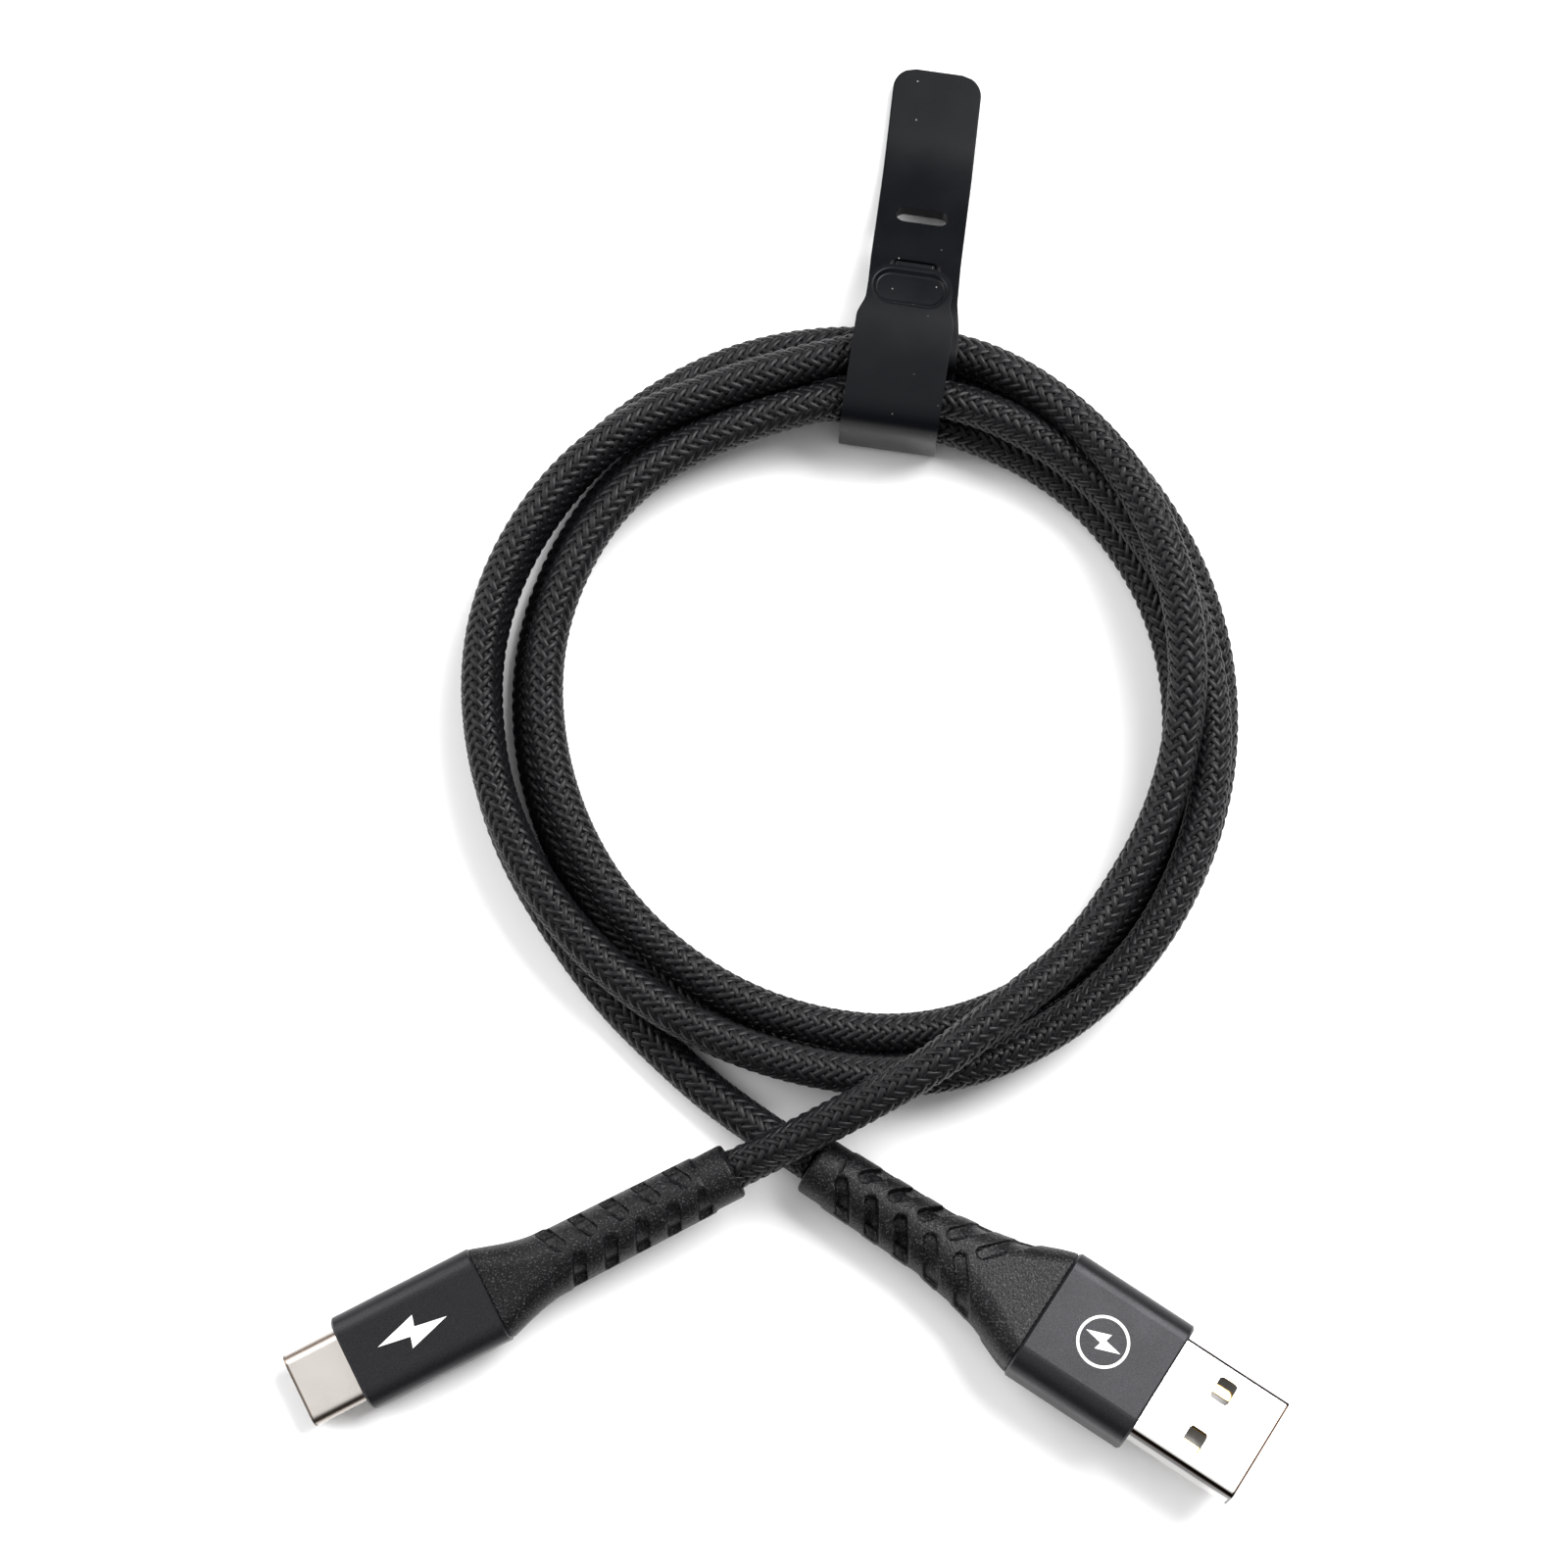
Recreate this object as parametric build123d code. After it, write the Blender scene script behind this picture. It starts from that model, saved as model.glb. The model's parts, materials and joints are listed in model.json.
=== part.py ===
from build123d import *
import os
from math import cos, radians, sin, tan

# A braided charging cable about a metre long, with a USB-C plug at one end and a USB-A plug at the
# other. It lies on z = 0 in a ring of nearly four turns that a silicone strap holds together.
# Millimetres, +Z up, +Y towards the strap's free tail. The plugs lie towards -Y.

# ---- driving dimensions -------------------------------------------------------------------------
CABLE_DIAMETER = 4.4
CABLE_RADIUS = CABLE_DIAMETER / 2
BORE_PLAY = 0.02                    # between a cable end and the parts round it

# the ring of turns
RING_CENTRE = (7.3, 6.5)
RING_INNER_RADIUS = 31.4
RING_OUTER_RADIUS = 43.2
RING_HEIGHT = 8.8                   # two layers of cable
RING_EDGE_RADIUS = 2.1

# the silicone strap, drawn in a side view: "along" runs out from the ring's middle to the tail's tip
STRAP_WIDTH = 10.0
STRAP_THICKNESS = 1.3
STRAP_HEADING = 81.7                # degrees from +X
STRAP_CLEARANCE = 0.3
STRAP_TIP = 73.6
STRAP_TIP_CORNER = 2.3
FLAP_WIDTH = 9.3
FLAP_CORNER = 2.2
SLOT_LENGTH = 5.8
SLOT_WIDTH = 2.2
BUTTON_SLOT_ALONG = 49.5            # the slot that the button sits in
SPARE_SLOT_ALONG = 56.4
TAIL_HINGE = (52.6, 5.55)           # along, up: where the free tail bends
FLAP_HINGE = (43.6, 11.05)          # along, up: where the button's flap bends
HINGE_GAP = 0.6                     # from a hinge line to each of the two pieces it joins
STUD_ALONG = 49.05
STUD_TOP = 9.5
STUD_LENGTH = 4.4
STUD_THICKNESS = 0.9
STUD_DROP = 2.6
DISH_MIDDLE = (47.3, 10.18)         # along, up: under the middle of the dish in the button's top
DISH_SIZE = (7.0, 2.4)
DISH_DEPTH = 0.35

# plug positions: the middle of each housing's front face, and how the plug lies
USB_C_FRONT = (-45.8, -64.0, 3.04)
USB_C_HEADING = 206.7
USB_C_PITCH = -4.6
USB_C_ROLL = 0.0
USB_A_FRONT = (39.4, -66.6, 5.5)
USB_A_HEADING = -33.3
USB_A_PITCH = 2.2
USB_A_ROLL = -11.5

# USB-A plug
A_SHELL = (12.0, 4.5)               # width, height
A_SHELL_WALL = 0.3
A_SHELL_CORNER = 0.6
A_EXPOSED = 12.5
A_BURIED = 6.3
A_WINDOW = (2.2, 2.7)
A_WINDOW_BACK = 6.5                 # from the nose to the windows' middles
A_WINDOW_SPREAD = 6.2
A_HOUSING = (14.9, 7.6)
A_HOUSING_CORNER = 2.5
A_HOUSING_LENGTH = 14.4
A_RELIEF_LENGTH = 29.0
A_GROOVE_SLANT = 52                 # degrees from the plug's axis
A_GROOVE_STARTS = {1: 9.0, -1: 10.7}        # side: distance of its first inner end behind the housing
A_RECESSES = 2                      # the first grooves on each side, which are only recesses
A_WINDOW_CORNER = 0.5
A_MOULD_RECESS = 0.35               # from the housing's front face back to the inner mould
A_PIN_PLACES = (-3.5, -1.0, 1.0, 3.5)
A_PIN_WIDTH = 1.0
A_PIN_THICKNESS = 0.2
A_PIN_REAR = -8.5                   # where the contacts end, inside the housing
A_PIN_SETBACKS = (2.0, 3.0, 3.0, 2.0)       # from the nose to each contact's front end
A_TONGUE_SETBACK = 0.9              # from the nose to the front of the plastic tongue
A_TONGUE_TOP = 0.05
A_TONGUE_PLAY = 0.1                 # between the plastic and the shell
A_TONGUE_ROOT = -0.5                # in front of here the tongue is thin, behind it fills the shell
A_WIRE_FRONT = -8.9
A_WIRE_HEIGHT = 0.15
A_NECK = (                          # back, width, height and corner of each section
    (0, 14.5, 7.2, 2.4),
    (2.6, 12.9, 7.3, 2.9),
    (5.4, 10.8, 7.4, 3.4),
    (9.5, 8.9, 7.5, 3.7),
    (13.0, 7.8, 7.5, 3.74),
)
A_TUBE_RADII = (3.85, 3.5)          # where the neck ends, at the collar
A_COLLAR = (3.2, 3.35)              # length, radius

# USB-C plug
C_SHELL = (8.25, 2.4)
C_SHELL_WALL = 0.2
C_EXPOSED = 6.4
C_BURIED = 4.0
C_MOUTH = (6.8, 0.95)
C_HOUSING = (10.7, 6.0)
C_HOUSING_CORNER = 2.2
C_HOUSING_LENGTH = 16.5
C_RELIEF_LENGTH = 28.9
C_GROOVE_SLANT = 60
C_GROOVE_STARTS = {-1: 9.4, 1: 10.8}
C_PIN_COUNT = 12
C_PIN_PITCH = 0.5
C_PIN_WIDTH = 0.25
C_PIN_THICKNESS = 0.12
C_PIN_REAR = -5.2
C_PIN_SETBACK = 1.2                 # from the nose to the contacts' front ends
C_MOUTH_FLOOR = -1.5
C_MOUTH_CORNER = 0.3
C_INSULATOR_PLAY = 0.02
C_INSULATOR_SETBACK = 0.3
C_LATCH_PLACES = (3.2, 3.34)        # inner and outer face of each side latch
C_LATCH_ENDS = (-1.5, 5.4)
C_LATCH_HALF_HEIGHT = 0.25
C_BOARD = (5.4, 8.0, 0.7)           # length, width, thickness
C_BOARD_GAP = 0.1                   # from the shell to the board
C_RESISTOR_ENDS = (-7.6, -6.6)
C_RESISTOR_SIDES = (1.2, 1.7)
C_RESISTOR_HEIGHT = 0.35
C_MOULD_RECESS = 0.3
C_WIRE_PLACES = (-2.7, -0.9, 0.9, 2.7)
C_WIRE_GAP = 0.4                    # from the board to the cores
C_NECK = (
    (0, 10.4, 5.8, 2.1),
    (2.2, 9.1, 6.0, 2.6),
    (4.6, 7.8, 6.3, 3.0),
    (8.0, 7.2, 6.6, 3.28),
)
C_TUBE_RADII = (3.45, 3.25)
C_COLLAR = (3.6, 3.05)

HOUSING_WALL = 0.8
HOUSING_RIM_CHAMFER = 0.25
WIRE_DIAMETER = 1.0
WIRE_GAP = 0.4                      # from the inner jacket's end to where the straight cores start
WIRE_COLOURS = ("red", "white", "green", "black")
WIRE_ENDS = ((-0.75, 0.75), (-0.75, -0.75), (0.75, -0.75), (0.75, 0.75))
STRIPPED_DIAMETER = 3.4             # the inner jacket, where the braid is cut back
FERRULE_DIAMETER = 4.3
FERRULE_LENGTH = 2.9
SLEEVE_RADIUS = 2.5                 # the relief's inner sleeve, at the bottom of its slots
GROOVE_PITCH = 3.72                 # five grooves a side, aslant, like the barbs of a feather
GROOVE_COUNT = 5
GROOVE_WIDTH = 1.4
GROOVE_LENGTH = 8.0
GROOVE_TIP = 0.4                    # from the relief's top line to a groove's rounded inner end
GROOVE_START_HEIGHT = 0.35          # the grooves of the top and the bottom stay this far apart
GROOVE_REACH = 6.0                  # high enough to leave the relief
RECESS_DEPTH = 0.45                 # of the grooves that don't go through
COLLAR_EDGE_RADIUS = 0.4

# The lead from the USB-C relief: over the ring's lower side, then on top of it to the strap.
LEAD_C_POINTS = (
    (0.6, -40.9, 8.3),
    (8.6, -36.9, 10.5),
    (16.2, -32.7, 11.6),
    (23.6, -27.0, 11.0),
    (33.0, -19.3, 8.4),
    (42.6, -3.0, 7.8),
    (44.2, 16.4, 10.9),
    (36.2, 35.3, 10.0),
)
# The lead to the USB-A relief leaves the ring's lowest layer and runs under the other lead.
LEAD_A_POINTS = (
    (-32.2, -4.1, 2.2),
    (-21.4, -22.2, 2.2),
    (-11.2, -32.4, 2.2),
    (-4.2, -38.0, 2.4),
)


# ---- helpers ------------------------------------------------------------------------------------
def plug_plane(front, heading, pitch, roll):
    """The plane of a plug: X out of its nose, Z out of its top, origin at its housing's front."""
    h, p, r = radians(heading), radians(pitch), radians(roll)
    axis = Vector(cos(h) * cos(p), sin(h) * cos(p), sin(p))
    up = Vector(-cos(h) * sin(p), -sin(h) * sin(p), cos(p))
    side = up.cross(axis)
    return Plane(origin=front, x_dir=axis, z_dir=up * cos(r) - side * sin(r))


def bar(size, corner, start, end):
    """A rounded rectangle of (width, height) drawn out along X from start to end."""
    section = Plane.YZ.offset(start) * RectangleRounded(size[0], size[1], corner)
    return extrude(section, end - start)


def block(x, y, z):
    """A box given by its lowest and highest values along each axis."""
    size = (x[1] - x[0], y[1] - y[0], z[1] - z[0])
    middle = (sum(x) / 2, sum(y) / 2, sum(z) / 2)
    return Pos(*middle) * Box(*size)


def rod(start, end, diameter):
    """A round bar between two points."""
    start, end = Vector(*start), Vector(*end)
    run = end - start
    return extrude(Plane(origin=start, z_dir=run) * Circle(diameter / 2), run.length)


def tube_path(points):
    """Straight runs joined by arcs, each as large as its two runs allow, and the arcs' radii."""
    points = [Vector(*point) for point in points]
    radii = []
    for before, here, after in zip(points, points[1:], points[2:]):
        first, second = here - before, after - here
        turn = radians(first.get_angle(second))
        radii.append(0.45 * min(first.length, second.length) / tan(turn / 2))
    return FilletPolyline(*points, radius=radii), radii


def cable_tube(points, name):
    """A lead as a round tube, with its arcs' radii and its volume printed."""
    path, radii = tube_path(points)
    tube = sweep(Plane(origin=path @ 0, z_dir=path % 0) * Circle(CABLE_RADIUS), path=path)
    section = Circle(CABLE_RADIUS).area
    print(name, "arc radii", [round(radius, 1) for radius in radii])
    print(name, "volume", round(tube.volume, 1), "section times length", round(section * path.length, 1))
    return tube


# ---- the two plugs ------------------------------------------------------------------------------
def housing(size, corner, length):
    """The aluminium sleeve of a plug, open at both ends, with its rims broken."""
    outer = bar(size, corner, -length, 0)
    rims = outer.edges().filter_by(Axis.X, reverse=True)
    outer = chamfer(rims, HOUSING_RIM_CHAMFER)
    inner_size = (size[0] - 2 * HOUSING_WALL, size[1] - 2 * HOUSING_WALL)
    return outer - bar(inner_size, corner - HOUSING_WALL, -length - 1, 1)


def inner_mould(size, corner, length, recess):
    """The plastic block inside a housing, before the parts that it was moulded round are cut."""
    inner_size = (size[0] - 2 * HOUSING_WALL, size[1] - 2 * HOUSING_WALL)
    return bar(inner_size, corner - HOUSING_WALL, -length, -recess)


def groove(tip_back, side, slant, above):
    """A slanted groove's prism, from its rounded inner end by the top or bottom line out past a side."""
    outline = Pos(GROOVE_LENGTH / 2, 0) * SlotOverall(GROOVE_LENGTH, GROOVE_WIDTH)
    outline = Pos(-tip_back, side * GROOVE_TIP) * Rot(0, 0, side * slant) * outline
    start = GROOVE_START_HEIGHT if above else -GROOVE_START_HEIGHT - GROOVE_REACH
    return Pos(0, 0, start) * extrude(outline, GROOVE_REACH)


def relief_body(sections, start, length, tube, shrink):
    """The relief without its grooves: a tapered neck, then a slightly tapered tube."""
    faces = []
    for back, width, height, corner in sections:
        size = (width - 2 * shrink, height - 2 * shrink)
        faces.append(Plane.YZ.offset(start - back) * RectangleRounded(*size, corner - shrink))
    neck_length = sections[-1][0]
    tube_length = length - neck_length
    cone = Cone(tube[0] - shrink, tube[1] - shrink, tube_length)
    middle = start - neck_length - tube_length / 2
    return loft(faces) + Pos(middle, 0, 0) * Rot(0, -90, 0) * cone


def strain_relief(start, length, sections, tube, collar, groove_starts, recesses, slant):
    """A flexible sleeve behind a housing, with grooves on both sides of its top and its bottom.

    sections: (back, width, height, corner) along the neck; tube: radii where the neck ends and at
    the collar; collar: (length, radius) of the plain ring at the cable's end.
    """
    grooved_length = length - collar[0]
    relief = relief_body(sections, start, grooved_length, tube, 0)
    core = relief_body(sections, start, grooved_length, tube, RECESS_DEPTH)
    for side, first in groove_starts.items():
        for index in range(GROOVE_COUNT):
            back = first - start + index * GROOVE_PITCH
            for cut in (groove(back, side, slant, True), groove(back, -side, slant, False)):
                relief -= cut - core if index < recesses else cut
    ring = Pos(start - length + collar[0] / 2, 0, 0) * Rot(0, 90, 0) * Cylinder(collar[1], collar[0])
    outer_rim = ring.edges().filter_by(GeomType.CIRCLE).sort_by(Axis.X)[0]
    ring = fillet(outer_rim, COLLAR_EDGE_RADIUS)
    sleeve_length = length - 1
    sleeve = Pos(start - sleeve_length / 2, 0, 0) * Rot(0, 90, 0) * Cylinder(SLEEVE_RADIUS, sleeve_length)
    bore = Pos(start - length / 2, 0, 0) * Rot(0, 90, 0) * Cylinder(CABLE_RADIUS + BORE_PLAY, length + 2)
    return relief + sleeve + ring - bore


def cable_end(front, back_face, relief_end):
    """The cable inside a plug: full size through the relief, stripped to its inner jacket after it."""
    braided = rod((relief_end, 0, 0), (back_face, 0, 0), CABLE_DIAMETER)
    return braided + rod((back_face, 0, 0), (front, 0, 0), STRIPPED_DIAMETER)


def ferrule(back_face):
    """The crimped ring that grips the inner jacket just inside the housing's back."""
    bore = Cylinder(STRIPPED_DIAMETER / 2 + BORE_PLAY, FERRULE_LENGTH)
    ring = Cylinder(FERRULE_DIAMETER / 2, FERRULE_LENGTH) - bore
    return Pos(back_face + FERRULE_LENGTH / 2, 0, 0) * Rot(0, 90, 0) * ring


def ferrule_room(back_face):
    """The round room that the ferrule and the jacket in it leave in the inner mould."""
    room = Cylinder(FERRULE_DIAMETER / 2, FERRULE_LENGTH)
    return Pos(back_face + FERRULE_LENGTH / 2, 0, 0) * Rot(0, 90, 0) * room


def wires(starts, start_x, end_x, height):
    """The four cores, fanned out from the jacket to the contacts, one solid for each colour."""
    cores = {}
    for colour, across, end in zip(WIRE_COLOURS, starts, WIRE_ENDS):
        cores[colour] = rod((end_x, end[0], end[1]), (start_x, across, height), WIRE_DIAMETER)
    return cores


def usb_a_plug():
    """Every piece of the USB-A plug in the plug's own frame."""
    nose, back = A_EXPOSED, -A_HOUSING_LENGTH
    cavity = (A_SHELL[0] - 2 * A_SHELL_WALL, A_SHELL[1] - 2 * A_SHELL_WALL)
    envelope = bar(A_SHELL, A_SHELL_CORNER, -A_BURIED, nose)
    shell = envelope - bar(cavity, A_SHELL_CORNER - A_SHELL_WALL, -A_BURIED - 1, nose + 1)
    window = extrude(RectangleRounded(*A_WINDOW, A_WINDOW_CORNER), A_SHELL[1], both=True)
    for side in (1, -1):
        shell -= Pos(nose - A_WINDOW_BACK, side * A_WINDOW_SPREAD / 2, 0) * window

    half_width = cavity[0] / 2 - A_TONGUE_PLAY
    floor = A_TONGUE_PLAY - cavity[1] / 2
    sides = (-half_width, half_width)
    tongue = block((A_PIN_REAR, nose - A_TONGUE_SETBACK), sides, (floor, A_TONGUE_TOP))
    rear = block((-A_BURIED, A_TONGUE_ROOT), sides, (floor, -floor))
    contacts = Part()
    for place, setback in zip(A_PIN_PLACES, A_PIN_SETBACKS):
        edges = (place - A_PIN_WIDTH / 2, place + A_PIN_WIDTH / 2)
        faces = (A_TONGUE_TOP, A_TONGUE_TOP + A_PIN_THICKNESS)
        contacts += block((A_PIN_REAR, nose - setback), edges, faces)
    insulator = tongue + rear - contacts

    jacket_front = back + FERRULE_LENGTH
    jacket = cable_end(jacket_front, back, back - A_RELIEF_LENGTH)
    crimp = ferrule(back)
    cores = wires(A_PIN_PLACES, A_WIRE_FRONT, jacket_front + WIRE_GAP, A_WIRE_HEIGHT)
    mould = inner_mould(A_HOUSING, A_HOUSING_CORNER, A_HOUSING_LENGTH, A_MOULD_RECESS)
    mould -= envelope
    for piece in [insulator, contacts, jacket, crimp, *cores.values()]:
        mould -= piece
    mould -= ferrule_room(back)
    grooves = (A_GROOVE_STARTS, A_RECESSES, A_GROOVE_SLANT)
    relief = strain_relief(back, A_RELIEF_LENGTH, A_NECK, A_TUBE_RADII, A_COLLAR, *grooves)
    pieces = {
        "shell": shell,
        "insulator": insulator,
        "contacts": contacts,
        "housing": housing(A_HOUSING, A_HOUSING_CORNER, A_HOUSING_LENGTH),
        "inner_mould": mould,
        "crimp_ferrule": crimp,
        "cable_end": jacket,
        "strain_relief": relief,
    }
    pieces.update({"wire_" + colour: core for colour, core in cores.items()})
    return pieces


def usb_c_plug():
    """Every piece of the USB-C plug in the plug's own frame."""
    nose, back = C_EXPOSED, -C_HOUSING_LENGTH
    round_corner = C_SHELL[1] / 2 - 0.01
    cavity = (C_SHELL[0] - 2 * C_SHELL_WALL, C_SHELL[1] - 2 * C_SHELL_WALL)
    envelope = bar(C_SHELL, round_corner, -C_BURIED, nose)
    shell = envelope - bar(cavity, round_corner - C_SHELL_WALL, -C_BURIED - 1, nose + 1)

    body_size = (cavity[0] - 2 * C_INSULATOR_PLAY, cavity[1] - 2 * C_INSULATOR_PLAY)
    body_corner = round_corner - C_SHELL_WALL - C_INSULATOR_PLAY
    insulator = bar(body_size, body_corner, -C_BURIED, nose - C_INSULATOR_SETBACK)
    insulator -= bar(C_MOUTH, C_MOUTH_CORNER, C_MOUTH_FLOOR, nose + 1)
    upper, lower = Part(), Part()
    ceiling = C_MOUTH[1] / 2
    ends = (C_PIN_REAR, nose - C_PIN_SETBACK)
    for index in range(C_PIN_COUNT):
        place = (index - (C_PIN_COUNT - 1) / 2) * C_PIN_PITCH
        edges = (place - C_PIN_WIDTH / 2, place + C_PIN_WIDTH / 2)
        upper += block(ends, edges, (ceiling - C_PIN_THICKNESS, ceiling))
        lower += block(ends, edges, (-ceiling, C_PIN_THICKNESS - ceiling))
    insulator -= upper
    insulator -= lower
    latches = Part()
    for side in (1, -1):
        faces = sorted(side * place for place in C_LATCH_PLACES)
        latches += block(C_LATCH_ENDS, faces, (-C_LATCH_HALF_HEIGHT, C_LATCH_HALF_HEIGHT))

    board_rear = -C_BURIED - C_BOARD_GAP - C_BOARD[0]
    board = Pos(board_rear + C_BOARD[0] / 2, 0, 0) * Box(*C_BOARD) - upper - lower
    board_top = C_BOARD[2] / 2
    resistor = block(C_RESISTOR_ENDS, C_RESISTOR_SIDES, (board_top, board_top + C_RESISTOR_HEIGHT))

    jacket_front = back + FERRULE_LENGTH
    jacket = cable_end(jacket_front, back, back - C_RELIEF_LENGTH)
    crimp = ferrule(back)
    cores = wires(C_WIRE_PLACES, board_rear - C_WIRE_GAP, jacket_front + WIRE_GAP, 0)
    mould = inner_mould(C_HOUSING, C_HOUSING_CORNER, C_HOUSING_LENGTH, C_MOULD_RECESS)
    mould -= envelope
    for piece in [upper, lower, board, resistor, jacket, crimp, *cores.values()]:
        mould -= piece
    mould -= ferrule_room(back)
    grooves = (C_GROOVE_STARTS, 0, C_GROOVE_SLANT)
    relief = strain_relief(back, C_RELIEF_LENGTH, C_NECK, C_TUBE_RADII, C_COLLAR, *grooves)
    pieces = {
        "shell": shell,
        "insulator": insulator,
        "contacts_upper": upper,
        "contacts_lower": lower,
        "side_latches": latches,
        "circuit_board": board,
        "resistor": resistor,
        "housing": housing(C_HOUSING, C_HOUSING_CORNER, C_HOUSING_LENGTH),
        "inner_mould": mould,
        "crimp_ferrule": crimp,
        "cable_end": jacket,
        "strain_relief": relief,
    }
    pieces.update({"wire_" + colour: core for colour, core in cores.items()})
    return pieces


# ---- the strap ----------------------------------------------------------------------------------
STRAP_ALONG = Vector(cos(radians(STRAP_HEADING)), sin(radians(STRAP_HEADING)), 0)
STRAP_ACROSS = Vector(sin(radians(STRAP_HEADING)), -cos(radians(STRAP_HEADING)), 0)
STRAP_ORIGIN = Vector(RING_CENTRE[0], RING_CENTRE[1], 0)
STRAP_SIDE_VIEW = Plane(origin=STRAP_ORIGIN, x_dir=STRAP_ALONG, z_dir=STRAP_ACROSS)


def strap_point(along, up):
    """A point of the strap's side view as a point in space."""
    return STRAP_ORIGIN + STRAP_ALONG * along + Vector(0, 0, up)


def band(points, thickness, width):
    """A flat band whose middle line follows side-view points, with its bends as large as they allow."""
    path, _ = tube_path([(along, up, 0) for along, up in points])
    return extrude(STRAP_SIDE_VIEW * trace(path, thickness), width / 2, both=True)


def strap_prism(start, end, low=-5.0, high=25.0, width=STRAP_WIDTH, corner=0.0):
    """A plan-view rectangle of the strap between two distances along it, as a tall prism."""
    outline = Rectangle(end - start, width)
    if corner:
        outline = RectangleRounded(end - start, width, corner)
    plane = Plane(origin=strap_point((start + end) / 2, low), x_dir=STRAP_ALONG, z_dir=(0, 0, 1))
    return extrude(plane * outline, high - low)


def slot_cut(along):
    """The prism that opens a slot across the strap."""
    plane = Plane(origin=strap_point(along, -5), x_dir=STRAP_ACROSS, z_dir=(0, 0, 1))
    return extrude(plane * SlotOverall(SLOT_LENGTH, SLOT_WIDTH), 30)


# Side view of the band's middle line. From the tail's hinge it climbs over the outer turns, dives
# between the turns, passes under the inner ones, comes up inside the ring and over the top.
BAND_POINTS = (
    (TAIL_HINGE[0] - HINGE_GAP, 5.85),
    (47.6, 8.2),
    (43.8, 9.5),
    (38.8, 9.55),
    (38.35, 4.6),
    (38.0, 0.66),
    (34.6, 0.67),
    (30.85, 0.7),
    (30.85, 4.8),
    (31.0, 8.9),
    (34.4, 10.0),
    (38.2, 11.05),
    (FLAP_HINGE[0] - HINGE_GAP, 11.05),
)
FLAP_POINTS = (
    (FLAP_HINGE[0] + HINGE_GAP, 11.0),
    (46.2, 10.5),
    (49.6, 9.5),
)
TAIL_POINTS = (
    (TAIL_HINGE[0] + HINGE_GAP, 5.2),
    (58.6, 2.5),
    (64.8, 0.95),
    (STRAP_TIP, 0.72),
)


def strap_parts():
    """The strap as its wrapped band, its free tail and its buttoned flap."""
    wrapped = band(BAND_POINTS, STRAP_THICKNESS, STRAP_WIDTH)
    wrapped -= slot_cut(BUTTON_SLOT_ALONG)
    tail = band(TAIL_POINTS, STRAP_THICKNESS, STRAP_WIDTH)
    tail &= strap_prism(TAIL_POINTS[0][0] - 8, STRAP_TIP, corner=STRAP_TIP_CORNER)
    tail -= slot_cut(SPARE_SLOT_ALONG)
    flap = band(FLAP_POINTS, STRAP_THICKNESS, FLAP_WIDTH)
    flap &= strap_prism(FLAP_POINTS[0][0] - 8, FLAP_POINTS[-1][0], width=FLAP_WIDTH, corner=FLAP_CORNER)
    stud_plane = Plane(origin=strap_point(STUD_ALONG, STUD_TOP), x_dir=STRAP_ACROSS, z_dir=(0, 0, -1))
    flap += extrude(stud_plane * SlotOverall(STUD_LENGTH, STUD_THICKNESS), STUD_DROP)
    slope = strap_point(*FLAP_POINTS[-1]) - strap_point(*FLAP_POINTS[-2])
    outward = STRAP_ACROSS.cross(slope).normalized()
    dish_origin = strap_point(*DISH_MIDDLE) + outward * (STRAP_THICKNESS / 2)
    dish_plane = Plane(origin=dish_origin, x_dir=STRAP_ACROSS, z_dir=outward)
    flap -= extrude(dish_plane * SlotOverall(*DISH_SIZE), DISH_DEPTH, both=True)
    return {"strap_band": wrapped, "strap_tail": tail, "strap_button_flap": flap}


# ---- the cable outside the plugs ----------------------------------------------------------------
def ring_of_turns():
    """The closed outer shape of the turns, cleared where the strap passes through and under."""
    width = RING_OUTER_RADIUS - RING_INNER_RADIUS
    middle = (RING_OUTER_RADIUS + RING_INNER_RADIUS) / 2
    section = Plane.XZ * Pos(middle, RING_HEIGHT / 2) * RectangleRounded(width, RING_HEIGHT, RING_EDGE_RADIUS)
    ring = Pos(RING_CENTRE[0], RING_CENTRE[1], 0) * revolve(section, Axis.Z)
    room = band(BAND_POINTS, STRAP_THICKNESS + 2 * STRAP_CLEARANCE, STRAP_WIDTH + 2 * STRAP_CLEARANCE)
    return ring - room


def place(plane, pieces, prefix):
    """Plug pieces moved from the plug's own frame to where the plug lies."""
    return {prefix + name: plane.location * piece for name, piece in pieces.items()}


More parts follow.
